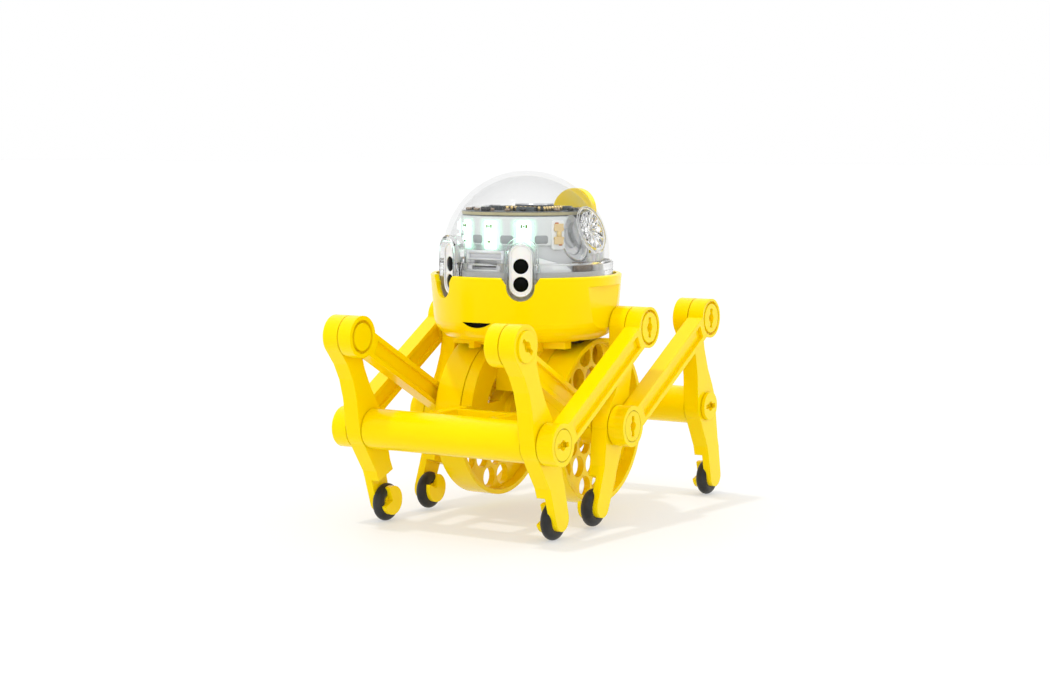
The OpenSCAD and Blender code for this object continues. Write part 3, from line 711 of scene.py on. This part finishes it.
def make_button():
    """Fluted clear lens in the button's face, a raised ring round it, and a cup and the switch behind."""
    face = BUTTON_FACE
    new_piece(
        "button_lens",
        lambda bm: button_rings(bm, [
            (face - 0.45 * MM, 0.05 * MM), (face - 0.45 * MM, 1.5 * MM), (face + 0.05 * MM, 1.6 * MM),
            (face + 0.28 * MM, 2.0 * MM), (face + 0.3 * MM, 2.9 * MM), (face + 0.1 * MM, 3.5 * MM),
            (face - 0.1 * MM, 3.6 * MM), (face - 0.3 * MM, 3.6 * MM), (face - 0.62 * MM, 1.6 * MM),
            (face - 0.62 * MM, 0.05 * MM),
        ], flutes=12, depth=0.28 * MM),
        "clear_plastic",
        "power_button",
        material=CUT_GLASS,
    )

    def raised_ring(bm):
        """Torus on the rim of the button, a little longer along the axis than across it."""
        middle, ring_r = face - 0.35 * MM, 4.35 * MM
        loops = []
        for b in turns(12):
            along, radius = middle + 0.28 * MM * math.sin(b), ring_r + 0.24 * MM * math.cos(b)
            loops.append([button_point(along, radius, a) for a in turns(72)])
        ring_loft(bm, loops + loops[:1], closed_ends=False)

    new_piece("button_ring", raised_ring, "clear_plastic", "power_button", material=CUT_GLASS)
    new_piece(
        "button_cup",
        lambda bm: button_rings(bm, [
            (9.6 * MM, 0.05 * MM), (9.6 * MM, 4.5 * MM), (10.9 * MM, 4.7 * MM), (11.0 * MM, 4.6 * MM),
            (10.9 * MM, 4.4 * MM), (9.9 * MM, 4.2 * MM), (9.9 * MM, 0.05 * MM),
        ]),
        "white_plastic",
    )
    new_piece(
        "button_switch",
        lambda bm: button_rings(bm, [
            (9.0 * MM, 1.9 * MM), (10.4 * MM, 1.9 * MM), (10.5 * MM, 1.7 * MM), (10.5 * MM, 0.9 * MM),
            (11.1 * MM, 0.85 * MM),
        ], steps=24),
        "grey_plastic",
    )


DETAIL = {
    "window_chip": moulded("window_chip", (0.3, 0.38, 0.06), (0.14, 0.2, 0.03), SATIN),
    "band_grey": moulded("band_grey", (0.4, 0.42, 0.43), (0.32, 0.34, 0.35), SATIN),
    "brown": moulded("brown", (0.2, 0.14, 0.08), (0.12, 0.08, 0.05), SATIN),
    "dark_board": board("dark_board", (0.012, 0.014, 0.016), (0.5, 0.46, 0.36)),
    "laminate": moulded("laminate", (0.62, 0.55, 0.3), (0.3, 0.27, 0.16), SATIN),
    "gold": metal("gold", (0.86, 0.66, 0.3), (0.7, 0.5, 0.2)),
    "ferrite": moulded("ferrite", (0.05, 0.045, 0.045), (0.025, 0.022, 0.022), SATIN),
    "ceramic": moulded("ceramic", (0.5, 0.38, 0.26), (0.36, 0.26, 0.18), SATIN),
    "orange": moulded("orange", (0.75, 0.24, 0.05), (0.5, 0.13, 0.03), SATIN),
    "phosphor": moulded("phosphor", (0.9, 0.72, 0.35), (0.8, 0.6, 0.25), SATIN, coat=0.2),
    "clear_film": moulded("clear_film", (0.9, 0.92, 0.92), (0.8, 0.83, 0.83), SATIN, coat=0.2),
    "frosted": moulded("frosted", (0.86, 0.88, 0.88), (0.76, 0.79, 0.8), SATIN, coat=0.2, glow=0.1),
    "lit_window": glowing("lit_window", (0.62, 1.0, 0.8), 0.95),
    # painted glow round each lit window, faded by the mesh attribute "fade"
    "painted_led_glow": glowing("painted_led_glow", (0.6, 1.0, 0.78), 0.6, faded=True),
}

make_eyes()
make_top_board()
make_led_windows()
make_deck_parts()
make_button()


# ---- studio ----


def make_studio():
    """White light table under an even sky, with one light from almost overhead and a weak fill and rim."""
    tilt = math.radians(0.43)  # the front feet stand a little higher than the rear ones
    ring_back = 3.5 * MM  # from where a rear ring stands to its back
    rear_foot = max(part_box("rear_ring_left")[1].y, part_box("rear_ring_right")[1].y) - ring_back
    bm = bmesh.new()
    reach = 40.0  # metres each way, so that the horizon lies above the dome
    rows = []
    for y in (-reach, -0.5, 0.0, 0.5, 1.0, reach):
        rows.append([bm.verts.new((x, y, (rear_foot - y) * math.tan(tilt))) for x in (-reach, 0, reach)])
    for a, b in zip(rows, rows[1:]):
        for i in range(2):
            bm.faces.new((a[i], a[i + 1], b[i + 1], b[i]))
    mesh = bpy.data.meshes.new("floor")
    bm.to_mesh(mesh)
    bm.free()
    floor = bpy.data.objects.new("floor", mesh)
    scene.collection.objects.link(floor)
    s = Shader("floor")
    s.set(Roughness=0.6, Specular_IOR_Level=0.1, Emission_Color=(1, 1, 1), Emission_Strength=0.43)
    s.link(s.ramp(s.noise(3), [(0.3, 0.45), (0.7, 0.46)]), s.bsdf.inputs["Base Color"])
    mesh.materials.append(s.material)

    world = bpy.data.worlds.new("studio")
    scene.world = world
    world.use_nodes = True
    background = world.node_tree.nodes["Background"]
    background.inputs["Color"].default_value = (1, 1, 1, 1)
    background.inputs["Strength"].default_value = 1.0

    def area(name, place, size, power):
        """Rectangular light that faces the middle of the object."""
        data = bpy.data.lights.new(name, "AREA")
        data.shape = "RECTANGLE"
        data.size, data.size_y = size
        data.energy = power
        obj = bpy.data.objects.new(name, data)
        scene.collection.objects.link(obj)
        obj.location = place
        obj.rotation_euler = (Vector((0, 0, 0.03)) - Vector(place)).to_track_quat("-Z", "Y").to_euler()

    overhead = bpy.data.lights.new("overhead", "SUN")
    overhead.energy = 0.9
    overhead.angle = 0.05
    lamp = bpy.data.objects.new("overhead", overhead)
    scene.collection.objects.link(lamp)
    lamp.rotation_euler = Vector((0.16, 0.22, -1)).to_track_quat("-Z", "Y").to_euler()
    area("fill", (0.35, -0.6, 0.3), (0.6, 0.4), 0.5)
    area("rim", (0.2, 0.5, 0.35), (0.5, 0.3), 0.4)


make_studio()
